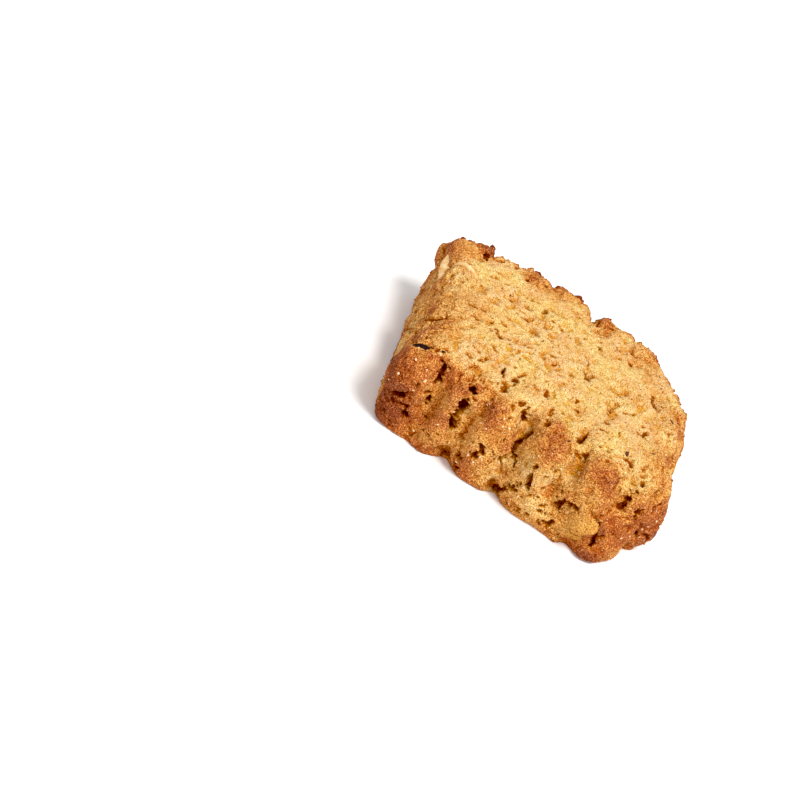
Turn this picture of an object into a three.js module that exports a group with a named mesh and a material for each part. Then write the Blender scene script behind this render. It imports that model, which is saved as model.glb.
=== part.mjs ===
// A thick spelt biscuit lying flat with its pale, pitted face up. Millimetres, +Z up.
import * as THREE from 'three';
import { ImprovedNoise } from 'three/addons/math/ImprovedNoise.js';
import { mergeGeometries, mergeVertices } from 'three/addons/utils/BufferGeometryUtils.js';

// Driving sizes
const thickness = 23.5;
const frontReach = 10;
const backReach = 5;
const bulgeHeight = 3;
const footInset = 0.7;
const domeHeight = 0.5;
const grooveFade = 8;
const grooveChange = [4, 14];
const grooveWander = 3;
const grooveWanderSize = 9;

// A power of 2 makes the section of shoulder and wall an ellipse, and more makes it squarer
const sectionPower = 2.6;

// Widest line of the wall seen from above, from the front left corner round to the left end
const wallLine = [
  [-30.6, -27.5], [-15, -30.8], [2, -31.8], [14, -32.6], [30.5, -31.5], [38.2, -21], [38.4, -8], [37, 6],
  [29.8, 15], [20, 24.8], [4, 28.2], [-12, 29], [-28, 26.4], [-38.8, 23], [-37.4, 13], [-36.4, 1],
  [-33.8, -14],
];

// Grooves that part the lobes: place on the wall line, depth on the shoulder and at the foot,
// and reach to each side
const grooves = [
  { x: -21.5, y: -28.6, shoulder: 2.8, foot: 0.8, reach: 6 },
  { x: -11, y: -29.8, shoulder: 2.8, foot: 3.4, reach: 5 },
  { x: 2.8, y: -30.3, shoulder: 3.4, foot: 2.2, reach: 5.5 },
  { x: 16, y: -30.3, shoulder: 3, foot: 0.4, reach: 6.5 },
  { x: 25, y: -30.5, shoulder: 0.4, foot: 2, reach: 4 },
  { x: 31, y: -30.4, shoulder: 2.8, foot: 0, reach: 6 },
  { x: 36.4, y: -23, shoulder: 0.8, foot: 3, reach: 5 },
  { x: 38.5, y: -10, shoulder: 2.6, foot: 1.6, reach: 7 },
  { x: 38.5, y: 3, shoulder: 0.6, foot: 1.8, reach: 6 },
  { x: 24, y: 26.4, shoulder: 1.6, foot: 1, reach: 4 },
  { x: 2.5, y: 32.3, shoulder: 4.6, foot: 2.4, reach: 3.6 },
  { x: -13.5, y: 33.6, shoulder: 2, foot: 1.4, reach: 4 },
  { x: -32, y: 30.2, shoulder: 2, foot: 1, reach: 5 },
  { x: -38.4, y: 4, shoulder: 1.6, foot: 1, reach: 6 },
  { x: -35, y: -12, shoulder: 1.4, foot: 0.6, reach: 6 },
];

// Crowns of the browned lobes over the front wall: x and z of the middle, radius, height
const frontCrowns = [
  [-28.5, 15.5, 6, 1.1], [-17, 18.5, 3.6, 1.1], [-6, 19.5, 4.6, 1.3], [9, 19, 4.8, 1.4],
  [23.3, 18.5, 4.8, 1.3], [31, 2, 4, 1], [24.6, 8.6, 3.4, 0.9],
];

// Holes in the front wall: x and z of the middle, radius, depth
const frontHoles = [
  [-12.7, 15.5, 2.1, 2.2], [-13, 10.5, 2, 1.8], [-23, 5.5, 1.8, 1.4], [-20.4, 12, 1.8, 1.4],
  [-26.6, 9.5, 1.8, 1.2], [1.5, 20.5, 2, 2], [3, 15.5, 1.8, 1.4], [1, 10, 1.8, 1.4], [19, 8.2, 2.6, 2.4],
  [6.4, 3, 2, 1.6], [28.3, 6, 2, 1.8], [30, 17, 2, 1.6], [34.5, 17, 1.8, 1.4],
];

// Pits in the top face: x and y of the middle, radius, depth
const topPits = [
  [-21.5, 1, 2, 0.9], [-15, -4.5, 2, 1], [-11.5, 6, 2, 0.8], [-3, 11, 2, 0.9], [-5.5, -17, 2.4, 1.2],
  [2, -15.5, 2.2, 1], [7.5, -0.5, 2, 0.9], [9.5, -14.5, 2.2, 1], [15.5, 13, 2, 0.9], [17, -9, 2.2, 1],
  [24, 6, 2, 0.9], [25, -9, 2, 1], [-22, 15.5, 2, 0.8], [-28.5, 20, 2.2, 1.6],
];

// Lumps of the crumb: size across, and height on the top face and on the wall
const lumps = [
  { size: 11, top: 0.45, wall: 0.9 },
  { size: 4.6, top: 0.3, wall: 0.55 },
];

// Cells of the sheet that is draped over top and wall, and the share of its rings on each stretch
const cells = 72;
const topShare = 0.54;
const wallShare = 0.4;

const outlineSteps = 720;
const noise = new ImprovedNoise();
const noiseOffset = 31.7;
const centre = new THREE.Vector2(0, 1);
const outline = new THREE.CatmullRomCurve3(
  wallLine.map(([x, y]) => new THREE.Vector3(x, y, 0)), true, 'centripetal',
);

// Middles of the grooves, moved onto the outline
const outlinePoints = outline.getSpacedPoints(outlineSteps);
const grooveMiddles = grooves.map(({ x, y }) => {
  const aim = new THREE.Vector3(x, y, 0);
  return outlinePoints.reduce((best, point) => (point.distanceTo(aim) < best.distanceTo(aim) ? point : best));
});

// How far round the outline a point on the edge of the unit square lies, from its front left corner
function edgeShare(u, v) {
  const side = Math.abs(v) >= Math.abs(u) ? (v < 0 ? 0 : 2) : (u > 0 ? 1 : 3);
  const along = [u, v, -u, -v][side];
  return ((side + (along + 1) / 2) / 4) % 1;
}

// How far in the rounded shoulder begins: wide at the front, tight along the back
function shoulderReach(outward) {
  return THREE.MathUtils.lerp(frontReach, backReach, THREE.MathUtils.smoothstep(outward.y, 0, 0.5));
}

// Place of a ring on the section: inset from the wall line, height, and how far the face looks out and up
function section(ring, wallDistance, reach) {
  if (ring <= topShare) {
    const along = ring / topShare;
    const inset = wallDistance - (wallDistance - reach) * along;
    return { inset, height: thickness + domeHeight * (1 - along * along), out: 0, up: 1 };
  }
  const drop = (ring - topShare) / wallShare;
  if (drop <= 1) {
    const rise = thickness - bulgeHeight;
    const sine = Math.sin(drop * Math.PI / 2);
    const cosine = Math.max(0, Math.cos(drop * Math.PI / 2));
    const facing = new THREE.Vector2(
      sine ** (2 - 2 / sectionPower) / reach, cosine ** (2 - 2 / sectionPower) / rise,
    ).normalize();
    const inset = reach * (1 - sine ** (2 / sectionPower));
    return { inset, height: bulgeHeight + rise * cosine ** (2 / sectionPower), out: facing.x, up: facing.y };
  }
  const foot = (ring - topShare - wallShare) / (1 - topShare - wallShare);
  return { inset: footInset * foot * foot, height: bulgeHeight * (1 - foot), out: 1, up: 0 };
}

// Depth of the grooves at a place on the wall line, fading out over the top face
function grooveDepth(wallPoint, inset, height, reach) {
  const fade = 1 - THREE.MathUtils.smoothstep(inset, reach * 0.5, reach * 0.5 + grooveFade);
  const rise = THREE.MathUtils.smoothstep(height, ...grooveChange);
  const cut = grooves.map(({ shoulder, foot, reach: width }, i) => {
    const near = Math.max(0, 1 - wallPoint.distanceTo(grooveMiddles[i]) / width);
    return THREE.MathUtils.lerp(foot, shoulder, rise) * near * near * (2 - near);
  });
  return fade * Math.max(...cut);
}

// Depth of round dents, or height of round crowns, whose middles are given on two of the axes
function roundRelief(spots, first, second) {
  const moves = spots.map(([a, b, radius, depth]) => {
    const gap = Math.hypot(first - a, second - b) / radius;
    return depth * Math.exp(-gap * gap);
  });
  return Math.max(...moves);
}

// Smooth noise between -1 and 1 whose swings are about as wide as the given size
function swing(place, size) {
  const spot = place.clone().divideScalar(size).addScalar(noiseOffset);
  return noise.noise(spot.x, spot.y, spot.z);
}

// Height of the crumb's lumps at a place
function lumpHeight(place, up) {
  return lumps.reduce(
    (height, { size, top, wall }) => height + THREE.MathUtils.lerp(wall, top, up) * swing(place, size), 0,
  );
}

// Where a point of the flat sheet comes to lie on the biscuit
function drape(u, v) {
  const ring = Math.max(Math.abs(u), Math.abs(v));
  const share = ring > 0 ? edgeShare(u / ring, v / ring) : 0;
  const wallPoint = outline.getPointAt(share);
  const spoke = new THREE.Vector2(wallPoint.x, wallPoint.y).sub(centre);
  const wallDistance = spoke.length();
  const outward = spoke.divideScalar(wallDistance);
  const reach = shoulderReach(outward);
  const { inset, height, out, up } = section(ring, wallDistance, reach);
  const place = new THREE.Vector3(
    centre.x + outward.x * (wallDistance - inset), centre.y + outward.y * (wallDistance - inset), height,
  );
  const onFront = Math.max(0, -outward.y) * out;
  const bend = grooveWander * swing(place, grooveWanderSize);
  const bentPoint = wallPoint.clone().addScaledVector(outline.getTangentAt(share), bend);
  const move = lumpHeight(place, up)
    + onFront * roundRelief(frontCrowns, place.x, place.z)
    - grooveDepth(bentPoint, inset, height, reach)
    - onFront * roundRelief(frontHoles, place.x, place.z)
    - up * roundRelief(topPits, place.x, place.y);
  place.x += outward.x * out * move;
  place.y += outward.y * out * move;
  place.z += up * move;
  return place;
}

// Splits each cell of the sheet along the spoke that runs through it, so that no triangle is a sliver
function splitAlongSpokes(geometry) {
  const index = [];
  for (let row = 0; row < cells; row += 1) {
    for (let column = 0; column < cells; column += 1) {
      const a = row * (cells + 1) + column;
      const [b, d] = [a + cells + 1, a + 1];
      const c = b + 1;
      const sameSide = (row < cells / 2) === (column < cells / 2);
      index.push(...(sameSide ? [a, b, c, a, c, d] : [a, b, d, b, c, d]));
    }
  }
  geometry.setIndex(index);
}

// Top, shoulder and wall as one sheet
function sheetGeometry() {
  const geometry = new THREE.PlaneGeometry(2, 2, cells, cells);
  splitAlongSpokes(geometry);
  const position = geometry.attributes.position;
  for (let i = 0; i < position.count; i += 1) {
    const place = drape(position.getX(i), position.getY(i));
    position.setXYZ(i, place.x, place.y, place.z);
  }
  return geometry;
}

// Flat underside inside the sheet's edge, drawn mirrored and turned over so that it faces down
function undersideGeometry() {
  const rim = [];
  for (let side = 0; side < 4; side += 1) {
    for (let step = 0; step < cells; step += 1) {
      const along = -1 + 2 * step / cells;
      const [u, v] = [[along, -1], [1, along], [-along, 1], [-1, -along]][side];
      const place = drape(u, v);
      rim.push(new THREE.Vector2(place.x, -place.y));
    }
  }
  return new THREE.ShapeGeometry(new THREE.Shape(rim)).rotateX(Math.PI);
}

// The closed biscuit, its underside on z = 0 and its middle over the origin
function biscuitGeometry() {
  const shells = [sheetGeometry(), undersideGeometry()];
  for (const shell of shells) {
    shell.deleteAttribute('normal');
    shell.deleteAttribute('uv');
  }
  const geometry = mergeVertices(mergeGeometries(shells), 1e-3);
  geometry.computeBoundingBox();
  const middle = geometry.boundingBox.getCenter(new THREE.Vector3());
  geometry.translate(-middle.x, -middle.y, 0);
  geometry.computeVertexNormals();
  return geometry;
}

const crust = new THREE.MeshStandardMaterial({ color: 0xe0a860, roughness: 0.9, metalness: 0 });
const biscuit = new THREE.Mesh(biscuitGeometry(), crust);
biscuit.name = 'biscuit';

const speltBiscuit = new THREE.Group();
speltBiscuit.add(biscuit);

export default speltBiscuit;
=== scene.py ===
"""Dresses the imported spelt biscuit: crumb relief, baked colours, small bits, light and camera."""
import math

import bmesh
import bpy
import numpy as np
from mathutils import Matrix, Vector, noise
from mathutils.bvhtree import BVHTree
from mathutils.kdtree import KDTree


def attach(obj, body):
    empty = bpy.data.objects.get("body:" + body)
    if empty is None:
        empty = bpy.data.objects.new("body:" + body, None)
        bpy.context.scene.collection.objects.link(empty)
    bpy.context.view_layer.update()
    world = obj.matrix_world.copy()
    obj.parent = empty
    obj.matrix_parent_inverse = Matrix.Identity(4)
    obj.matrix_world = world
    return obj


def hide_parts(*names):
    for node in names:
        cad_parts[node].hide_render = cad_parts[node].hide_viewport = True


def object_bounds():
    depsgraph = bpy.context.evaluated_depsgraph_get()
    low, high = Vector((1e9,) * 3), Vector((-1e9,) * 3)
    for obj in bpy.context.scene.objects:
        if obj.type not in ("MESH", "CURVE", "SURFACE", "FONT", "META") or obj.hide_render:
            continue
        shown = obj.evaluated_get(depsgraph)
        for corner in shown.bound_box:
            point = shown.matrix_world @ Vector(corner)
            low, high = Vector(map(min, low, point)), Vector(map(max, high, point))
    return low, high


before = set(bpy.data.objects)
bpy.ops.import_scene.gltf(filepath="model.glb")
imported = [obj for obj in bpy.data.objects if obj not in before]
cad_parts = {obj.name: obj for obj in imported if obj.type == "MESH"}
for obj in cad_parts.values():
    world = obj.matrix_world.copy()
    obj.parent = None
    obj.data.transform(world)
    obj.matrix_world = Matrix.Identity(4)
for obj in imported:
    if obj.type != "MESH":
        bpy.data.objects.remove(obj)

cad_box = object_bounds()
MM = 0.001
SEED = 7
rng = np.random.default_rng(SEED)
noise.seed_set(SEED)

# Camera of the photograph: angles in degrees, lengths in millimetres
CAMERA_AZIMUTH = 4
CAMERA_ELEVATION = 37.5
CAMERA_ROLL = 29.5
CAMERA_DISTANCE = 534
CAMERA_NEAREST = 10
CAMERA_LENS = 100
SENSOR_WIDTH = 36
IMAGE_SIDE = 800
MIDDLE_PIXEL = (538.6, 394.6)

# How far past the middle, in millimetres, a sight line that just misses the biscuit is tried
MISS_REACHES = range(-40, 41, 2)

# Linear light that the photograph's contrast shows as black
BLACK_LEVEL = 0.012

# Lights: direction of the key light, spreads in degrees, and strengths
KEY_DIRECTION = (0.39, -0.2, 0.88)
KEY_SPREAD = 22
KEY_STRENGTH = 2.75
FILL_SPREAD = 90
FILL_STRENGTH = 1.0
SURROUND_STRENGTH = 0.56

# Floor, with its half side in millimetres
FLOOR_REACH = 3000
FLOOR_COLOUR = "#f6f5f4"
FLOOR_ROUGHNESS = 0.9

# Colours of the crumb, with the painted shade of its dents, hollows and pinholes; steps of tone and shade
# are (value from, value to, colour)
PALE_CRUMB = "#f0c87b"
PEACH_CRUMB = "#efbd84"
BAKED_TONES = [(0.0, 0.35, "#df9a4a"), (0.35, 0.65, "#bf6a2f"), (0.65, 1.0, "#8f431d")]
# Painted shade that darkens and warms the dents, on pale crumb and on baked crumb
PALE_DENT_SHADE = "#eacd72"
BAKED_DENT_SHADE = "#e2c49c"
# Painted shade in holes, pits, cavities and cracks, darker the deeper they are
HOLLOW_SHADES = [(0.1, 0.35, "#e4c47c"), (0.35, 0.7, "#e0d2bc"), (0.7, 1.0, "#dad0c2")]
# Painted shade in pinholes too small to model
PINHOLE_SHADE = "#c99c52"
CRUMB_ROUGHNESS = 0.85
CRUMB_GLOSS = 0.25

# Sizes across of the crumb's colour patterns, and height of its fine bump, in millimetres
BLOTCH_SIZE = 5
PEACH_SIZE = 7
GRIT_SIZE = 0.28
SAND_SIZE = 0.55
PINHOLE_SIZE = 0.6
CRUMB_BUMP = 0.6
PINHOLE_BUMP_SHARE = 0.3

# Fine bump of the small bits: height in millimetres and strength, with their gloss
BIT_BUMP = 0.15
BIT_BUMP_STRENGTH = 0.3
BIT_GLOSS = 0.2

# Crumb mesh and relief in millimetres; layers of relief are (size across, height or depth)
CELL = 0.36
SOFTENING_STEPS = 16
MERGE_DISTANCE = 0.001
UNDERSIDE_BAND = 0.05
UNDERSIDE_FADE = 1
SPOT_REPEATS = 4
BEND_SIZE = 1.8
BEND = 0.6
LUMPS = [(9.0, 0.5), (4.5, 0.4)]
CLODS = (3.4, 0.5)
GRAINS = [(1.5, 0.12), (0.8, 0.12)]
GRAIN_LIFT = 0.25
DENTS = [(4.6, 0.5), (2.6, 0.55), (1.3, 0.4)]
PITS = [(2.0, 1.1), (1.3, 0.9)]
CAVITIES = [(3.0, 1.7), (1.7, 1.1)]
FULL_HOLLOW = 1.4
RIM_KNOBS = (2.6, 1.2)
RIM_WIDTH = 3.5
RIM_FOOT = 12
RIM_TOP = 20

# Patches that vary the relief and the browning: size across in millimetres and offset of their noise
DENT_PATCHES = (11, 3.7)
PIT_PATCHES = (7, 1.7)
CAVITY_PATCHES = (9, 7.7)
CRACK_PATCHES = (6, 4.4)
CRACK_BREAKS = (2.4, 8.8)
COARSE_EDGES = (1.3, 4.2)
FINE_EDGES = (0.7, 8.3)
SHOULDER_PATCHES = (6, 2.9)
BAKE_PATCHES = (8, 9.4)

# Offsets of the noise of each layer of relief; the last three are multiplied by the layer's size
LUMP_OFFSET = 3.1
GRAIN_OFFSET = 5.5
KNOB_OFFSET = 6.1
DENT_OFFSET = 2.3
PIT_OFFSET = 5.1
CAVITY_OFFSET = 3.3

# Shares of the relief: at the foot and gained above it, on the top and gained on the wall
FOOT_RELIEF = 0.45
RISEN_RELIEF = 0.55
TOP_LUMPS = 0.3
WALL_LUMPS = 0.9
LEAST_DENTS = 0.45
PATCH_DENTS = 0.85
WALL_DENTS_LOST = 0.45

# How holes are cut: step, wander and radius as shares of the half-width, bottom as a share of the depth
HOLE_STEP = 0.6
HOLE_WANDER = 0.33
HOLE_RADII = (0.6, 1.1)
HOLE_DEPTHS = (0.75, 1.15)
HOLE_RAGGEDNESS = 0.5
HOLE_EDGE = 1.15
HOLE_SLOPE = 0.5
HOLE_REACH = 2

# Step in pixels along the bulges and valleys of the photograph
RELIEF_STEP = 4

# Browning from 0, pale, to 1, dark: what each kind of place adds, with heights in millimetres
BAKE_ALL = 0.03
BAKE_WALL = 0.24
BAKE_PROUD = 0.35
BAKE_SHOULDER = 0.35
BAKE_UNEVEN = 0.25
BAKE_FOOT = 0.25
BAKE_RIM = 0.36
BAKE_WALL_LEAST = 0.14
BAKE_UNDERSIDE = 0.6
PROUD_HEIGHTS = (0.2, 1.3)
SHOULDER_HEIGHTS = (10, 17)
FOOT_HEIGHTS = (4.5, 0.5)

# Rounds of averaging behind the height that browns a point, and behind the one that paints shade into a
# dent and a highlight onto what stands proud
PROUD_STEPS = 140
HEIGHT_STEPS = 40

# Uneven swelling of the bits: share of the size, and how many swellings there are across a bit
BIT_SWELL = 0.2
BIT_SWELLINGS = 3.1
BIT_FINENESS = 4
GRAIN_SWELL = 0.45
GRAIN_SWELLINGS = 2.6

# Bran flecks: number at random, lengths in millimetres, width and thickness for the length, share sunk
FLECK_COUNT = 30
FLECK_LENGTHS = (0.4, 0.8)
FLECK_WIDTHS = (0.35, 0.7)
FLECK_THICKNESS = 0.25
FLECK_SUNK = 0.55

# Loose crumbs: number, sizes in millimetres and fineness of the mesh, then what both kinds share
RIM_CRUMBS = (120, (0.9, 2.2), 3)
FINE_CRUMBS = (1800, (0.4, 1.0), 2)
FINE_CRUMB_CHANCE = 0.5
CRUMB_PROPORTIONS = (0.7, 1.2)
CRUMB_SUNK = 0.68
CRUMB_BAKE = (0.03, 0.08)
CRUMB_BAKE_PER_MM = 0.06
EVEN_CRUMB = 0.5
CRUMB_HEIGHT = 0.05

# Sugar grains: number, sizes in millimetres, least and most proportions, share sunk, chance on the top
SUGAR_COUNT = 340
SUGAR_SIZES = (0.3, 0.9)
SUGAR_LEAST = [0.8, 0.6, 0.4]
SUGAR_MOST = [1.2, 1.0, 0.7]
SUGAR_SUNK = 0.62
TOP_SUGAR = 0.15

# Holes and cracks read off the photograph: pixels along each one, half-width and depth in millimetres
PHOTO_HOLES = [
    ([(464, 403), (458, 415), (451, 428)], 1.15, 3.0),
    ([(471, 389), (475, 391)], 0.75, 2.0),
    ([(404, 413), (408, 416)], 0.9, 1.9),
    ([(444, 366), (441, 374), (436, 381)], 0.6, 1.4),
    ([(431, 396), (426, 403)], 0.6, 1.5),
    ([(396, 395), (407, 392)], 0.8, 1.6),
    ([(526, 413), (523, 421)], 0.95, 1.4),
    ([(531, 433), (522, 439), (515, 449), (504, 457), (500, 460)], 0.6, 1.9),
    ([(516, 456), (514, 467)], 0.4, 1.2),
    ([(473, 456), (484, 448)], 0.9, 1.6),
    ([(457, 457)], 1.1, 1.5),
    ([(531, 474), (529, 483), (527, 488)], 0.7, 1.9),
    ([(496, 490), (508, 487), (516, 490)], 0.75, 1.6),
    ([(542, 506)], 0.5, 1.0),
    ([(551, 523), (544, 526)], 0.6, 1.3),
    ([(559, 503), (567, 504), (575, 506)], 1.0, 1.8),
    ([(598, 525), (595, 534), (592, 545)], 0.55, 1.7),
    ([(586, 434), (583, 438), (580, 442)], 0.7, 1.6),
    ([(585, 457)], 0.7, 1.2),
    ([(618, 507), (624, 503)], 0.65, 1.2),
    ([(641, 512), (636, 516)], 0.7, 1.4),
    ([(628, 499)], 0.7, 1.3),
    ([(643, 484)], 0.6, 1.2),
    ([(634, 533)], 0.7, 1.4),
    ([(497, 331), (499, 335), (500, 339)], 0.6, 1.3),
    ([(492, 345), (495, 350)], 0.45, 0.9),
    ([(514, 383), (516, 380)], 0.75, 1.4),
    ([(506, 390)], 0.5, 0.9),
    ([(554, 357)], 0.6, 1.2),
    ([(554, 364)], 0.5, 1.1),
    ([(547, 392), (546, 398)], 0.6, 1.2),
    ([(586, 374), (586, 379)], 0.6, 1.3),
    ([(576, 411)], 0.5, 1.0),
    ([(521, 403)], 0.7, 1.1),
    ([(553, 409), (549, 416)], 0.4, 0.9),
    ([(480, 360), (488, 358)], 0.5, 1.0),
    ([(497, 277)], 0.7, 1.1),
    ([(507, 285)], 0.6, 1.0),
    ([(485, 258)], 0.7, 1.1),
    ([(526, 321)], 0.6, 1.1),
    ([(509, 320)], 0.5, 1.0),
    ([(562, 330)], 0.6, 1.1),
    ([(483, 310)], 0.6, 1.0),
    ([(630, 366)], 0.6, 1.1),
    ([(652, 400), (655, 407)], 0.6, 1.2),
    ([(627, 414)], 0.6, 1.1),
    ([(610, 410)], 0.5, 1.0),
    ([(607, 424)], 0.6, 1.1),
    ([(638, 434)], 0.6, 1.1),
    ([(424, 320), (435, 320), (446, 318)], 0.45, 0.8),
]

# Soft bulges and valleys read off the photograph: pixels along each, half-width and rise in millimetres
PHOTO_RELIEF = [
    ([(404, 362), (402, 382)], 4.5, 1.0),
    ([(388, 402)], 4.0, 0.6),
    ([(458, 376), (456, 388)], 2.6, 1.0),
    ([(492, 404), (496, 412)], 3.4, 1.0),
    ([(556, 428), (562, 444)], 3.6, 1.1),
    ([(598, 470), (606, 482)], 4.0, 1.0),
    ([(662, 496), (660, 508), (655, 520), (648, 532), (640, 540)], 4.0, 1.2),
    ([(584, 550), (600, 552)], 2.5, 0.5),
    ([(445, 361), (440, 375), (436, 388), (428, 402)], 1.5, -1.6),
    ([(398, 392), (408, 396)], 1.5, -1.0),
    ([(470, 380), (474, 392), (464, 406)], 1.4, -1.2),
    ([(522, 402), (525, 417), (530, 430), (519, 438)], 1.8, -1.4),
    ([(583, 430), (586, 446), (585, 456), (576, 474)], 1.6, -1.3),
    ([(644, 476), (635, 489), (622, 506)], 1.8, -1.3),
    ([(656, 522), (648, 534)], 3.0, 0.9),
    ([(688, 446), (678, 464), (672, 480)], 3.6, -2.2),
    ([(443, 450), (447, 462)], 1.5, -1.6),
    ([(492, 484), (495, 494)], 1.4, -1.4),
    ([(556, 538), (566, 545)], 2.0, -2.0),
    ([(444, 248), (452, 244)], 2.4, 1.2),
    ([(438, 258), (440, 246)], 2.0, 1.1),
    ([(622, 553), (640, 549)], 2.2, -1.2),
    ([(487, 254)], 1.7, 1.3),
    ([(530, 274), (538, 282)], 1.8, 1.1),
    ([(560, 290), (572, 298)], 2.0, 0.7),
    ([(604, 324), (614, 331)], 1.8, 1.2),
    ([(640, 350), (652, 362)], 2.2, 0.7),
    ([(597, 324)], 1.3, -1.8),
]

# Browned patches, and patches of painted shade and shadow, read off the photograph: pixel, radius in
# millimetres and strength
PHOTO_BROWNING_AND_SHADE = [
    # The darker patches at the left end and on the lower-left lobe and wall are partly painted shade and
    # shadow; the rest is browning of the crust
    ((452, 300), 10.0, 0.2),
    ((420, 300), 9.0, 0.13),
    ((400, 340), 6.0, 0.35),
    ((412, 420), 7.0, 0.15),
    ((537, 472), 7.0, -0.2),
    ((405, 365), 7.0, 0.62),
    ((386, 404), 7.0, 0.6),
    ((475, 452), 6.0, 0.2),
    ((455, 383), 4.0, 0.45),
    ((497, 406), 4.5, 0.42),
    ((557, 437), 5.0, 0.55),
    ((605, 478), 5.5, 0.4),
    ((655, 508), 6.0, 0.16),
    ((640, 528), 6.0, 0.4),
    ((614, 520), 6.0, 0.42),
    ((648, 534), 5.0, 0.3),
    ((565, 510), 5.0, 0.22),
    ((592, 552), 5.0, 0.35),
    ((666, 462), 7.0, 0.24),
    ((678, 425), 4.0, 0.24),
    ((437, 260), 4.0, 0.3),
    ((430, 332), 5.5, 0.24),
    ((455, 250), 6.0, 0.36),
    ((486, 254), 2.4, 0.25),
    ((534, 278), 2.8, 0.5),
    ((564, 293), 4.0, 0.25),
    ((608, 327), 3.2, 0.55),
    ((648, 358), 5.0, 0.3),
    ((630, 400), 14.0, 0.04),
    ((545, 300), 10.0, 0.04),
]

# Nut bits: pixels of the ends and middle, width and height in millimetres, share of the height sunk
PHOTO_NUTS = {
    "hazelnut_chip": ([(449, 253), (446, 266), (441, 281)], 4.4, 2.6, 0.78),
    "hazelnut_sliver": ([(452, 267), (464, 265), (477, 278)], 1.5, 1.5, 0.62),
}

# Nut bits under a skin of dough, given as the others are, and the skin's browning and height
PHOTO_COATED_NUTS = {
    "coated_hazelnut": ([(566, 517), (582, 522), (599, 528)], 6.2, 3.4, 0.7),
    "coated_hazelnut_foot": ([(564, 529), (574, 534), (585, 537)], 3.0, 2.4, 0.76),
}
COATED_VALUES = {"bake_and_shade": 0.17, "height": -0.22}

# Chocolate bits, given as the nut bits are
PHOTO_CHOCOLATE = {
    "chocolate_chip": ([(412, 345), (421, 346), (431, 349)], 1.4, 1.4, 0.75),
    "chocolate_crumb": ([(440, 351), (443, 352), (446, 354)], 0.8, 0.9, 0.75),
}

# Dark bran flecks that stand out in the photograph: pixel and length in millimetres
PHOTO_FLECKS = [
    ((543, 341), 0.9), ((504, 371), 2.0), ((569, 441), 1.2), ((627, 454), 1.6), ((672, 422), 1.6),
    ((653, 454), 1.2), ((493, 452), 1.1), ((588, 362), 0.8), ((470, 452), 0.8),
]


def linear(hex_colour):
    """Linear RGBA of an sRGB hex colour."""
    channels = [int(hex_colour[i:i + 2], 16) / 255 for i in (1, 3, 5)]
    return [c / 12.92 if c <= 0.04045 else ((c + 0.055) / 1.055) ** 2.4 for c in channels] + [1]


def ramp(values, low, high):
    """Smooth step of an array from 0 at low to 1 at high."""
    t = np.clip((values - low) / (high - low), 0, 1)
    return t * t * (3 - 2 * t)


def camera_axes():
    """Right, up and back of the photograph's camera."""
    azimuth = math.radians(CAMERA_AZIMUTH)
    elevation = math.radians(CAMERA_ELEVATION)
    roll = math.radians(CAMERA_ROLL)
    flat = math.cos(elevation)
    back = Vector((math.sin(azimuth) * flat, -math.cos(azimuth) * flat, math.sin(elevation)))
    level = Vector((math.cos(azimuth), math.sin(azimuth), 0))
    rise = back.cross(level)
    right = level * math.cos(roll) + rise * math.sin(roll)
    up = rise * math.cos(roll) - level * math.sin(roll)
    return right, up, back


def pixel_slope(pixel):
    """Sideways and upward slope of the sight line through a pixel."""
    focal = CAMERA_LENS / SENSOR_WIDTH * IMAGE_SIDE
    return (pixel[0] - IMAGE_SIDE / 2) / focal, (IMAGE_SIDE / 2 - pixel[1]) / focal


RIGHT, UP, BACK = camera_axes()
MIDDLE = (cad_box[0] + cad_box[1]) / 2
MIDDLE_SLOPE = pixel_slope(MIDDLE_PIXEL)
CAMERA_PLACE = MIDDLE + (BACK - RIGHT * MIDDLE_SLOPE[0] - UP * MIDDLE_SLOPE[1]) * CAMERA_DISTANCE * MM


def add_camera():
    """Camera that sees the biscuit at the photograph's pixels."""
    data = bpy.data.cameras.new("photo_camera")
    data.lens = CAMERA_LENS
    data.sensor_width = SENSOR_WIDTH
    data.clip_start = CAMERA_NEAREST * MM
    camera = bpy.data.objects.new("photo_camera", data)
    turn = Matrix((RIGHT, UP, BACK)).transposed().to_4x4()
    camera.matrix_world = Matrix.Translation(CAMERA_PLACE) @ turn
    bpy.context.scene.collection.objects.link(camera)
    bpy.context.scene.camera = camera


def add_object(name, mesh, material):
    """Smooth-shaded piece at the origin with one material, riding on the biscuit's body."""
    mesh.shade_smooth()
    mesh.materials.clear()
    mesh.materials.append(material)
    piece = bpy.data.objects.new(name, mesh)
    bpy.context.scene.collection.objects.link(piece)
    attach(piece, "root")
    return piece


def add_node(tree, kind, inputs=None, **settings):
    """New shader node with its settings and its sockets' values or links."""
    node = tree.nodes.new(kind)
    for name, value in settings.items():
        setattr(node, name, value)
    for socket, value in (inputs or {}).items():
        if isinstance(value, bpy.types.NodeSocket):
            tree.links.new(value, node.inputs[socket])
        else:
            node.inputs[socket].default_value = value
    return node


def new_material(name):
    """Node material with its tree and its Principled shader."""
    material = bpy.data.materials.new(name)
    material.use_nodes = True
    return material, material.node_tree, material.node_tree.nodes["Principled BSDF"]


def per_mm(size):
    """Texture scale on Object coordinates for a pattern of this size in millimetres."""
    return 1000 / size


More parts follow.
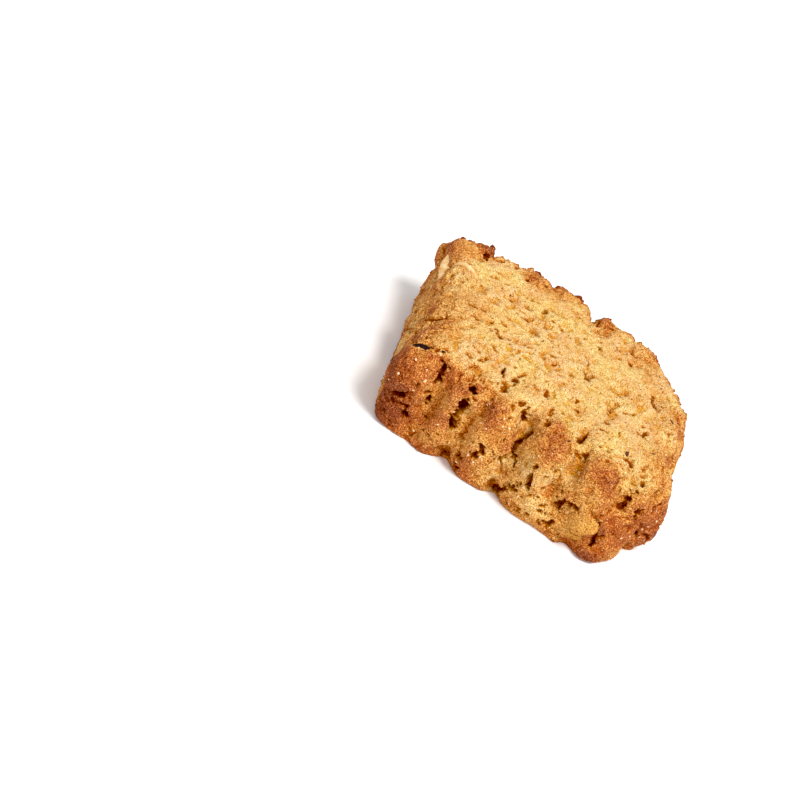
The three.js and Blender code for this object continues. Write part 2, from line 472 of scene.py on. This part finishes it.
def baked_crumb():
    """Baked spelt crumb: matte and sandy, pale where flat, red-brown where proud, with golden painted
    shade in dents.
    """
    material, tree, shader = new_material("baked_spelt_crumb")
    place = add_node(tree, "ShaderNodeTexCoord").outputs["Object"]
    bake_and_shade, hollow, height = [add_node(tree, "ShaderNodeAttribute", attribute_name=name).outputs["Fac"]
                            for name in ("bake_and_shade", "hollow", "height")]

    def texture(size, detail, roughness):
        """Noise of a given size in millimetres."""
        inputs = {"Vector": place, "Scale": per_mm(size), "Detail": detail, "Roughness": roughness}
        return add_node(tree, "ShaderNodeTexNoise", inputs).outputs["Fac"]

    def blend(share, colour, tone):
        """Mixes a tone into a colour."""
        inputs = {0: share, 6: colour, 7: linear(tone)}
        return add_node(tree, "ShaderNodeMix", inputs, data_type="RGBA").outputs[2]

    def shade(share, colour, tint):
        """Multiplies a colour by a share of a tint."""
        inputs = {0: share, 6: colour, 7: tint}
        return add_node(tree, "ShaderNodeMix", inputs, data_type="RGBA", blend_type="MULTIPLY").outputs[2]

    def spread(value, low, high, least=0.0, most=1.0):
        """Stretches a value's range to another one."""
        inputs = {0: value, 1: low, 2: high, 3: least, 4: most}
        return add_node(tree, "ShaderNodeMapRange", inputs).outputs[0]

    def calculate(operation, first, second):
        """One sum on two values."""
        return add_node(tree, "ShaderNodeMath", {0: first, 1: second}, operation=operation).outputs[0]

    # Sandy grain, sparse pinholes, and browning that varies in blotches
    blotch = texture(BLOTCH_SIZE, 2, 0.5)
    grit = texture(GRIT_SIZE, 1, 0.6)
    cells = add_node(tree, "ShaderNodeTexVoronoi", {"Vector": place, "Scale": per_mm(SAND_SIZE)})
    between_grains = spread(cells.outputs["Distance"], 0.1, 0.7, 0.1, -0.1)
    gaps = calculate("MULTIPLY", between_grains, spread(bake_and_shade, 0.05, 0.3, 0.3, 0.8))
    sand = calculate("ADD", grit, gaps)
    pinholes = spread(texture(PINHOLE_SIZE, 0, 0.5), 0.71, 0.83)
    browned = calculate("ADD", bake_and_shade, spread(blotch, 0.3, 0.7, -0.13, 0.13))
    peach = texture(PEACH_SIZE, 2, 0.5)

    # Baked tones, with painted shade that deepens them between the grains and a painted highlight that
    # pales what stands proud
    colour = blend(spread(peach, 0.4, 0.65, 0.0, 0.7), linear(PALE_CRUMB), PEACH_CRUMB)
    for low, high, tone in BAKED_TONES:
        colour = blend(spread(browned, low, high), colour, tone)
    grain_depth = spread(sand, 0.25, 0.75, 1.35, 0.7)
    depth_of_tone = calculate("MULTIPLY", grain_depth, spread(height, 0.05, 0.4, 1.0, 0.85))
    colour = add_node(tree, "ShaderNodeGamma", {"Color": colour, "Gamma": depth_of_tone}).outputs[0]

    # Painted shade in dents, hollows and pinholes, then the grain's light and dark, partly its own
    # speckle and partly painted shade
    # Painted shade in the dents: darker and more golden where the crumb lies low
    dent = spread(height, 0.04, -0.32)
    dent_shade = blend(spread(bake_and_shade, 0.08, 0.3), linear(PALE_DENT_SHADE), BAKED_DENT_SHADE)
    colour = shade(dent, colour, dent_shade)
    # Painted shade in the holes, pits, cavities and cracks
    for low, high, tone in HOLLOW_SHADES:
        colour = shade(spread(hollow, low, high), colour, linear(tone))
    # Painted shade in the pinholes
    colour = shade(pinholes, colour, linear(PINHOLE_SHADE))
    grain = calculate("SUBTRACT", sand, 0.5)
    brightness = calculate("MULTIPLY", grain, spread(bake_and_shade, 0.05, 0.3, 1.8, 2.4))
    brightness = calculate("ADD", brightness, 1.0)
    colour = add_node(tree, "ShaderNodeHueSaturation", {"Color": colour, "Value": brightness}).outputs[0]
    tree.links.new(colour, shader.inputs["Base Color"])

    level = calculate("SUBTRACT", sand, calculate("MULTIPLY", pinholes, PINHOLE_BUMP_SHARE))
    relief = {"Height": level, "Strength": 1.0, "Distance": CRUMB_BUMP * MM}
    bump = add_node(tree, "ShaderNodeBump", relief)
    tree.links.new(bump.outputs["Normal"], shader.inputs["Normal"])
    shader.inputs["Roughness"].default_value = CRUMB_ROUGHNESS
    shader.inputs["Specular IOR Level"].default_value = CRUMB_GLOSS
    return material


def plain_bit(name, light, dark, size, roughness):
    """Material of a small bit in two mottled tones, with a slight bump."""
    material, tree, shader = new_material(name)
    place = add_node(tree, "ShaderNodeTexCoord").outputs["Object"]
    pattern = {"Vector": place, "Scale": per_mm(size), "Detail": 3}
    mottle = add_node(tree, "ShaderNodeTexNoise", pattern).outputs["Fac"]
    share = add_node(tree, "ShaderNodeMapRange", {0: mottle, 1: 0.35, 2: 0.65}).outputs[0]
    tones = {0: share, 6: linear(light), 7: linear(dark)}
    colour = add_node(tree, "ShaderNodeMix", tones, data_type="RGBA").outputs[2]
    tree.links.new(colour, shader.inputs["Base Color"])
    relief = {"Height": mottle, "Strength": BIT_BUMP_STRENGTH, "Distance": BIT_BUMP * MM}
    bump = add_node(tree, "ShaderNodeBump", relief)
    tree.links.new(bump.outputs["Normal"], shader.inputs["Normal"])
    shader.inputs["Roughness"].default_value = roughness
    shader.inputs["Specular IOR Level"].default_value = BIT_GLOSS
    return material


def dense_copy(node):
    """Even, finely divided mesh of a CAD node with its facets softened."""
    shape = bmesh.new()
    shape.from_mesh(node.data)
    bmesh.ops.remove_doubles(shape, verts=shape.verts, dist=MERGE_DISTANCE * MM)
    mesh = bpy.data.meshes.new("crumb_start")
    shape.to_mesh(mesh)
    shape.free()
    start = bpy.data.objects.new("crumb_start", mesh)
    bpy.context.scene.collection.objects.link(start)
    cells = start.modifiers.new("even_cells", "REMESH")
    cells.mode = "VOXEL"
    cells.voxel_size = CELL * MM
    soft = start.modifiers.new("softened", "SMOOTH")
    soft.iterations = SOFTENING_STEPS
    seen = bpy.context.evaluated_depsgraph_get()
    dense = bpy.data.meshes.new_from_object(start.evaluated_get(seen))
    bpy.data.objects.remove(start)
    dense.name = "biscuit_crumb"
    join_underside(dense)
    return dense


def join_underside(mesh):
    """Makes the flat underside one face, which leaves more of the mesh for the crumb."""
    shape = bmesh.new()
    shape.from_mesh(mesh)
    flat = [face for face in shape.faces if max(vert.co.z for vert in face.verts) < UNDERSIDE_BAND * MM]
    bmesh.ops.dissolve_faces(shape, faces=flat, use_verts=True)
    shape.to_mesh(mesh)
    shape.free()


class Surface:
    """Points, normals and edges of a mesh in millimetres, with the moves that shape it."""

    def __init__(self, mesh):
        self.mesh = mesh
        self.edges = self.read(mesh.edges, "vertices", 2, int)
        self.refresh()
        bends = [noise.noise_vector(place)[:] for place in (self.points / BEND_SIZE).tolist()]
        self.bent = self.points + BEND * np.array(bends)

    def read(self, items, name, width, kind=float):
        """One property of the mesh's points or edges as an array."""
        values = np.empty(len(items) * width, kind)
        items.foreach_get(name, values)
        return values.reshape(-1, width)

    def refresh(self):
        """Reads the points and normals from the mesh again."""
        self.points = self.read(self.mesh.vertices, "co", 3) / MM
        self.normals = self.read(self.mesh.vertices, "normal", 3)

    def push(self, amount):
        """Moves each point along its normal, and those of the underside within its plane."""
        moves = self.normals * amount[:, None]
        moves[:, 2] *= ramp(self.points[:, 2], 0, UNDERSIDE_FADE)
        self.points = self.points + moves
        self.points[:, 2] = np.maximum(self.points[:, 2], 0)
        self.mesh.vertices.foreach_set("co", (self.points * MM).ravel())
        self.mesh.update()
        self.refresh()

    def softened(self, steps):
        """Points after averaging each with its neighbours a number of times."""
        count = len(self.points)
        ends = np.concatenate([self.edges, self.edges[:, ::-1]])
        links = np.bincount(ends[:, 0], minlength=count)
        soft = self.points
        for _ in range(steps):
            sums = [np.bincount(ends[:, 0], soft[ends[:, 1], axis], count) for axis in range(3)]
            soft = (soft + np.stack(sums, 1) / links[:, None]) / 2
        return soft

    def proud(self, steps):
        """Height of each point over the surface averaged a number of times."""
        return np.einsum("ij,ij->i", self.points - self.softened(steps), self.normals)

    def noise(self, size, offset):
        """Perlin noise of a given size at each point, bent so that its spots are uneven."""
        places = (self.bent / size + offset).tolist()
        return np.array([noise.noise(place) for place in places])

    def tree(self):
        """Search tree over the points."""
        tree = KDTree(len(self.points))
        for index, point in enumerate(self.points):
            tree.insert(point, index)
        tree.balance()
        return tree

    def sight(self):
        """Function from a pixel of the photograph to the place and normal that show there."""
        shape = bmesh.new()
        shape.from_mesh(self.mesh)
        hits = BVHTree.FromBMesh(shape)
        shape.free()

        def look(pixel):
            """Place and normal under a pixel, or else those nearest to its sight line."""
            sideways, upward = pixel_slope(pixel)
            sight_line = RIGHT * sideways + UP * upward - BACK
            place, normal, _, _ = hits.ray_cast(CAMERA_PLACE, sight_line)
            if place is None:
                beside = [hits.find_nearest(CAMERA_PLACE + sight_line * (CAMERA_DISTANCE + reach) * MM)
                          for reach in MISS_REACHES]
                place, normal, _, _ = min(beside, key=lambda hit: hit[3])
            return np.array(place) / MM, np.array(normal)
        return look


def stroke(places, step):
    """Evenly spaced points along a broken line, or one place several times over."""
    points = [places[0]] * SPOT_REPEATS if len(places) == 1 else [places[0]]
    for start, end in zip(places, places[1:]):
        steps = max(1, round(np.linalg.norm(end - start) / step))
        points += [start + (end - start) * (i + 1) / steps for i in range(steps)]
    return points


def soft_relief(surface, look):
    """Rise at each point of the lobes' bulges and of the valleys between them."""
    rise = np.zeros(len(surface.points))
    for pixels, half_width, height in PHOTO_RELIEF:
        places = [look(pixel)[0] for pixel in stroke(list(map(np.array, pixels)), RELIEF_STEP)]
        gaps = [np.linalg.norm(surface.points - place, axis=1) for place in places]
        gap = np.min(gaps, axis=0) / half_width
        rise += height * np.exp(-gap * gap)
    return rise


def hole_depth(surface, tree, look):
    """Depth at each point of the holes and cracks that the photograph shows, with ragged edges."""
    ragged = 1
    for layer in (COARSE_EDGES, FINE_EDGES):
        ragged = ragged + HOLE_RAGGEDNESS * surface.noise(*layer)
    depth = np.zeros(len(surface.points))
    for pixels, half_width, deepest in PHOTO_HOLES:
        for point in stroke([look(pixel)[0] for pixel in pixels], HOLE_STEP * half_width):
            middle = point + rng.normal(0, HOLE_WANDER * half_width, 3)
            radius = half_width * rng.uniform(*HOLE_RADII)
            bottom = deepest * rng.uniform(*HOLE_DEPTHS)
            for _, index, gap in tree.find_range(middle, HOLE_REACH * radius):
                share = min(1.0, max(0.0, (HOLE_EDGE - gap * ragged[index] / radius) / HOLE_SLOPE))
                depth[index] = max(depth[index], bottom * share * share * (3 - 2 * share))
    return depth


def dent_depth(surface):
    """Depth at each point of the soft dents between the crumbs."""
    patch = LEAST_DENTS + PATCH_DENTS * ramp(surface.noise(*DENT_PATCHES), -0.3, 0.3)
    depth = sum(deep * ramp(surface.noise(size, DENT_OFFSET * size), 0.1, 0.48) for size, deep in DENTS)
    return depth * patch


def pit_depth(surface):
    """Depth at each point of small scattered pits with dark bottoms."""
    patch = ramp(surface.noise(*PIT_PATCHES), -0.2, 0.25)
    depth = sum(deep * ramp(surface.noise(size, PIT_OFFSET * size), 0.44, 0.6) for size, deep in PITS)
    return depth * patch


def cavity_depth(surface):
    """Depth at each point of the ragged cavities that break up the wall, fewest on the front."""
    patch = ramp(surface.noise(*CAVITY_PATCHES), -0.1, 0.3)
    wall = ramp(surface.normals[:, 2], 0.75, 0.3) * ramp(surface.normals[:, 2], -0.8, -0.4)
    wall *= ramp(surface.normals[:, 1], -0.6, -0.2)
    depth = sum(deep * ramp(surface.noise(size, CAVITY_OFFSET * size), 0.42, 0.56)
                for size, deep in CAVITIES)
    return depth * patch * wall


def crack_depth(surface):
    """Depth at each point of the broken cracks between the wall's clods of dough."""
    size, deep = CLODS
    nearest = [noise.voronoi(place)[0] for place in (surface.bent / size).tolist()]
    edge = np.array([second - first for first, second, _, _ in nearest])
    patch = ramp(surface.noise(*CRACK_PATCHES), -0.15, 0.25)
    patch *= ramp(surface.noise(*CRACK_BREAKS), -0.25, 0.2)
    return deep * (1 - ramp(edge, 0.0, 0.25)) * patch


def back_rim(surface):
    """Weight of each point on the browned rim along the back and the ends."""
    wall = np.flatnonzero((surface.normals[:, 2] < 0.5) & (surface.points[:, 2] > RIM_FOOT))
    tree = KDTree(len(wall))
    for index in wall:
        tree.insert(surface.points[index], index)
    tree.balance()
    weight = np.zeros(len(surface.points))
    for index in np.flatnonzero(surface.points[:, 2] > RIM_FOOT):
        _, nearest, gap = tree.find(surface.points[index])
        if gap < RIM_WIDTH and surface.normals[nearest, 1] > 0:
            weight[index] = (1 - gap / RIM_WIDTH) * surface.normals[nearest, 1]
    return ramp(weight, 0.1, 0.8) * ramp(surface.points[:, 2], RIM_FOOT, RIM_TOP)


def shape_crumb(surface, rim):
    """Gives the crumb its lumps, holes, dents, pits and grain, and returns how sunk each point is."""
    above = FOOT_RELIEF + RISEN_RELIEF * ramp(surface.points[:, 2], 0.2, 1.5)
    wall = 1 - ramp(surface.normals[:, 2], 0.3, 0.9)
    lumps = sum(rise * surface.noise(size, LUMP_OFFSET) for size, rise in LUMPS)
    lumps = lumps * (TOP_LUMPS + WALL_LUMPS * wall) * above
    knob_size, knob_rise = RIM_KNOBS
    knobs = knob_rise * ramp(surface.noise(knob_size, KNOB_OFFSET), -0.1, 0.45) * rim
    lobes = soft_relief(surface, surface.sight()) * above
    surface.push(lumps + knobs + lobes)
    look = surface.sight()
    tree = surface.tree()
    depth = np.maximum(hole_depth(surface, tree, look), pit_depth(surface))
    depth = np.maximum(depth, cavity_depth(surface))
    depth = np.maximum(depth, crack_depth(surface) * wall) * above
    dents = dent_depth(surface) * (1 - WALL_DENTS_LOST * wall) * above
    grain = sum(rise * surface.noise(size, GRAIN_OFFSET) for size, rise in GRAINS)
    surface.push((grain + GRAIN_LIFT) * above - dents - depth)
    return np.clip(depth / FULL_HOLLOW, 0, 1)


def browning(surface, look, rim):
    """How browned each point is: most on what stands proud, on the wall's foot and underneath, with
    painted shade and shadow in some patches at the left.
    """
    up = surface.normals[:, 2]
    proud = surface.proud(PROUD_STEPS)
    wall = 1 - ramp(up, 0.35, 0.9)
    shoulder = ramp(surface.points[:, 2], *SHOULDER_HEIGHTS) * ramp(up, 0.97, 0.8)
    shoulder *= ramp(surface.normals[:, 1], -0.5, -0.1)
    bake_and_shade = BAKE_ALL + BAKE_WALL * wall + BAKE_PROUD * ramp(proud, *PROUD_HEIGHTS)
    bake_and_shade += BAKE_SHOULDER * shoulder * ramp(surface.noise(*SHOULDER_PATCHES), -0.05, 0.4)
    bake_and_shade += BAKE_UNEVEN * surface.noise(*BAKE_PATCHES) * (0.3 + wall)
    bake_and_shade += BAKE_FOOT * ramp(surface.points[:, 2], *FOOT_HEIGHTS) * wall
    bake_and_shade += BAKE_RIM * rim * (0.7 + 0.5 * ramp(surface.noise(RIM_KNOBS[0], KNOB_OFFSET), -0.3, 0.3))
    bake_and_shade = np.maximum(bake_and_shade, BAKE_WALL_LEAST * wall)
    # Listed patches of browning, some of them painted shade and shadow at the left
    for pixel, radius, strength in PHOTO_BROWNING_AND_SHADE:
        gap = np.linalg.norm(surface.points - look(pixel)[0], axis=1) / radius
        bake_and_shade += strength * np.exp(-gap * gap)
    under = ramp(up, -0.6, -0.9)
    return bake_and_shade * (1 - under) + BAKE_UNDERSIDE * under


def add_values(mesh, name, values):
    """Stores one number for each point of a mesh."""
    mesh.attributes.new(name, "FLOAT", "POINT").data.foreach_set("value", values.astype(np.float32))


def basis(normal, along):
    """Rows of a frame whose third axis is the normal and whose first runs along a direction."""
    normal = normal / np.linalg.norm(normal)
    first = along - normal * np.dot(along, normal)
    first /= np.linalg.norm(first)
    return np.stack([first, np.cross(normal, first), normal])


def embedded_bit(name, look, bit, material):
    """One lumpy bit sunk into the crumb along three pixels."""
    pixels, width, height, sunk = bit
    (first, _), (middle, normal), (last, _) = [look(pixel) for pixel in pixels]
    axes = basis(normal + np.array(BACK), last - first)
    offset = Vector((len(name), 0, 0))
    shape = bmesh.new()
    bmesh.ops.create_icosphere(shape, subdivisions=BIT_FINENESS, radius=0.5)
    for vert in shape.verts:
        swell = 1 + BIT_SWELL * noise.noise(vert.co * BIT_SWELLINGS + offset)
        along, across, out = np.array(vert.co) * swell
        spine = middle + (last - first) * along + 2 * (first + last - 2 * middle) * along * along
        place = spine + axes[1] * width * across + axes[2] * height * (out + 0.5 - sunk)
        vert.co = Vector(place * MM)
    mesh = bpy.data.meshes.new(name)
    shape.to_mesh(mesh)
    shape.free()
    return add_object(name, mesh, material)


def icosphere_arrays(fineness):
    """Corners and triangles of the plain grain that scattered bits are made from."""
    shape = bmesh.new()
    bmesh.ops.create_icosphere(shape, subdivisions=fineness, radius=0.5)
    corners = np.array([vert.co[:] for vert in shape.verts])
    faces = np.array([[vert.index for vert in face.verts] for face in shape.faces])
    shape.free()
    return corners, faces


def scattered_bits(name, spots, normals, sizes, sunk, material, fineness=1):
    """Many small uneven bits joined in one piece, each turned to the surface under it."""
    corners, faces = icosphere_arrays(fineness)
    points = []
    triangles = []
    for spot, normal, size in zip(spots, normals, sizes):
        axes = basis(normal, rng.normal(size=3))
        swell = [noise.noise(corner * GRAIN_SWELLINGS + Vector(spot)) for corner in map(Vector, corners)]
        uneven = corners * (1 + GRAIN_SWELL * np.array(swell))[:, None]
        middle = spot + axes[2] * size[2] * (0.5 - sunk)
        triangles.append(faces + len(corners) * len(points))
        points.append(uneven * size @ axes + middle)
    mesh = bpy.data.meshes.new(name)
    mesh.from_pydata((np.concatenate(points) * MM).tolist(), [], np.concatenate(triangles).tolist())
    return add_object(name, mesh, material)


def pick(weights, count):
    """Random points of the surface, more of them where the weight is larger."""
    chance = np.clip(weights, 0, None)
    return rng.choice(len(chance), count, replace=False, p=chance / chance.sum())


def add_nuts(look, crumb):
    """Bare nut bits, and those under a skin of dough, which have the crumb's look."""
    # Hazelnut kernel: ivory with golden mottling and a faint sheen
    nut = plain_bit("hazelnut_kernel", light="#f1d098", dark="#cf9850", size=1.4, roughness=0.6)
    for name, bit in PHOTO_NUTS.items():
        embedded_bit(name, look, bit, nut)
    for name, bit in PHOTO_COATED_NUTS.items():
        coated_nut = embedded_bit(name, look, bit, crumb)
        for value, amount in COATED_VALUES.items():
            add_values(coated_nut.data, value, np.full(len(coated_nut.data.vertices), amount))


def add_chocolate(look):
    """Chocolate bits baked into the left shoulder."""
    # Dark chocolate: nearly black, with a faint sheen
    chocolate = plain_bit("dark_chocolate", light="#2b1512", dark="#160a08", size=0.8, roughness=0.6)
    for name, bit in PHOTO_CHOCOLATE.items():
        embedded_bit(name, look, bit, chocolate)


def add_flecks(surface, look, above):
    """Bran flecks, those that stand out in the photograph and others at random."""
    # Spelt bran: dry, dark brown specks
    bran = plain_bit("spelt_bran", light="#6b3f2a", dark="#42241a", size=0.6, roughness=0.8)
    picked = pick(above, FLECK_COUNT)
    seen = [look(pixel) for pixel, _ in PHOTO_FLECKS]
    spots = np.concatenate([surface.points[picked], [place for place, _ in seen]])
    normals = np.concatenate([surface.normals[picked], [normal for _, normal in seen]])
    seen_lengths = [length for _, length in PHOTO_FLECKS]
    lengths = np.concatenate([rng.uniform(*FLECK_LENGTHS, FLECK_COUNT), seen_lengths])
    widths = lengths * rng.uniform(*FLECK_WIDTHS, len(lengths))
    sizes = np.stack([lengths, widths, lengths * FLECK_THICKNESS], 1)
    scattered_bits("bran_flecks", spots, normals, sizes, FLECK_SUNK, bran)


def add_crumbs(surface, rim, above, bake_and_shade, crumb):
    """Loose crumbs: coarse ones along the back rim and fine ones all over."""
    crumbs_by_name = {
        "rim_crumbs": (rim ** 2, RIM_CRUMBS),
        "fine_crumbs": (FINE_CRUMB_CHANCE + rim, FINE_CRUMBS),
    }
    for name, (chance, (count, (least, most), fineness)) in crumbs_by_name.items():
        picked = pick(chance * above, count)
        spots = surface.points[picked]
        normals = surface.normals[picked]
        spans = least + (most - least) * rng.random((count, 1)) ** 2
        sizes = spans * rng.uniform(*CRUMB_PROPORTIONS, (count, 3))
        crumbs = scattered_bits(name, spots, normals, sizes, CRUMB_SUNK, crumb, fineness)
        each = len(crumbs.data.vertices) // count
        browned = bake_and_shade[picked] + rng.normal(*CRUMB_BAKE, count)
        browned += CRUMB_BAKE_PER_MM * (spans[:, 0] - EVEN_CRUMB)
        add_values(crumbs.data, "bake_and_shade", np.repeat(browned, each))
        add_values(crumbs.data, "height", np.full(len(crumbs.data.vertices), CRUMB_HEIGHT))


def add_sugar(surface, above):
    """Sugar grains, most of them on the wall."""
    # Sugar grain: pale specks with a little gloss
    sugar = plain_bit("sugar_grain", light="#f2d8ae", dark="#dbaa70", size=0.5, roughness=0.4)
    picked = pick(above * (TOP_SUGAR + ramp(surface.normals[:, 2], 0.85, 0.4)), SUGAR_COUNT)
    spans = rng.uniform(*SUGAR_SIZES, (SUGAR_COUNT, 1))
    sizes = spans * rng.uniform(SUGAR_LEAST, SUGAR_MOST, (SUGAR_COUNT, 3))
    spots = surface.points[picked]
    normals = surface.normals[picked]
    scattered_bits("sugar_grains", spots, normals, sizes, SUGAR_SUNK, sugar)


def add_light(name, direction, spread, strength):
    """Far, soft light from a direction, as wide as the spread in degrees."""
    data = bpy.data.lights.new(name, "SUN")
    data.angle = math.radians(spread)
    data.energy = strength
    light = bpy.data.objects.new(name, data)
    light.rotation_euler = Vector(direction).to_track_quat("Z", "Y").to_euler()
    bpy.context.scene.collection.objects.link(light)


def add_stage():
    """White floor, soft key light from above on the right, and even light all round."""
    shape = bmesh.new()
    bmesh.ops.create_grid(shape, x_segments=1, y_segments=1, size=FLOOR_REACH * MM)
    mesh = bpy.data.meshes.new("floor")
    shape.to_mesh(mesh)
    shape.free()
    # White card: plain and matte, so that only the shadow shows on it
    material, _, shader = new_material("white_card")
    shader.inputs["Base Color"].default_value = linear(FLOOR_COLOUR)
    shader.inputs["Roughness"].default_value = FLOOR_ROUGHNESS
    mesh.materials.append(material)
    floor = bpy.data.objects.new("floor", mesh)
    bpy.context.scene.collection.objects.link(floor)
    add_light("key_light", KEY_DIRECTION, KEY_SPREAD, KEY_STRENGTH)
    add_light("fill_light", BACK, FILL_SPREAD, FILL_STRENGTH)
    world = bpy.data.worlds.new("studio")
    world.use_nodes = True
    world.node_tree.nodes["Background"].inputs["Color"].default_value = (1, 1, 1, 1)
    world.node_tree.nodes["Background"].inputs["Strength"].default_value = SURROUND_STRENGTH
    bpy.context.scene.world = world
    view = bpy.context.scene.view_settings
    view.view_transform = "Standard"
    view.use_curve_mapping = True
    view.curve_mapping.black_level = [BLACK_LEVEL] * 3
    view.curve_mapping.update()


def add_biscuit():
    """Crumb body with its nut, chocolate, bran and sugar bits and its loose crumbs."""
    crumb = baked_crumb()
    mesh = dense_copy(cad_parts["biscuit"])
    surface = Surface(mesh)
    rim = back_rim(surface)
    hollow = shape_crumb(surface, rim)
    look = surface.sight()
    bake_and_shade = browning(surface, look, rim)
    add_values(mesh, "hollow", hollow)
    add_values(mesh, "bake_and_shade", bake_and_shade)
    add_values(mesh, "height", surface.proud(HEIGHT_STEPS))
    body = add_object("biscuit_crumb", mesh, crumb)
    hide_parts("biscuit")

    add_nuts(look, crumb)
    add_chocolate(look)
    above = ramp(surface.points[:, 2], 0.5, 1.5) * (1 - hollow)
    add_flecks(surface, look, above)
    add_crumbs(surface, rim, above, bake_and_shade, crumb)
    add_sugar(surface, above)


add_camera()
add_stage()
add_biscuit()
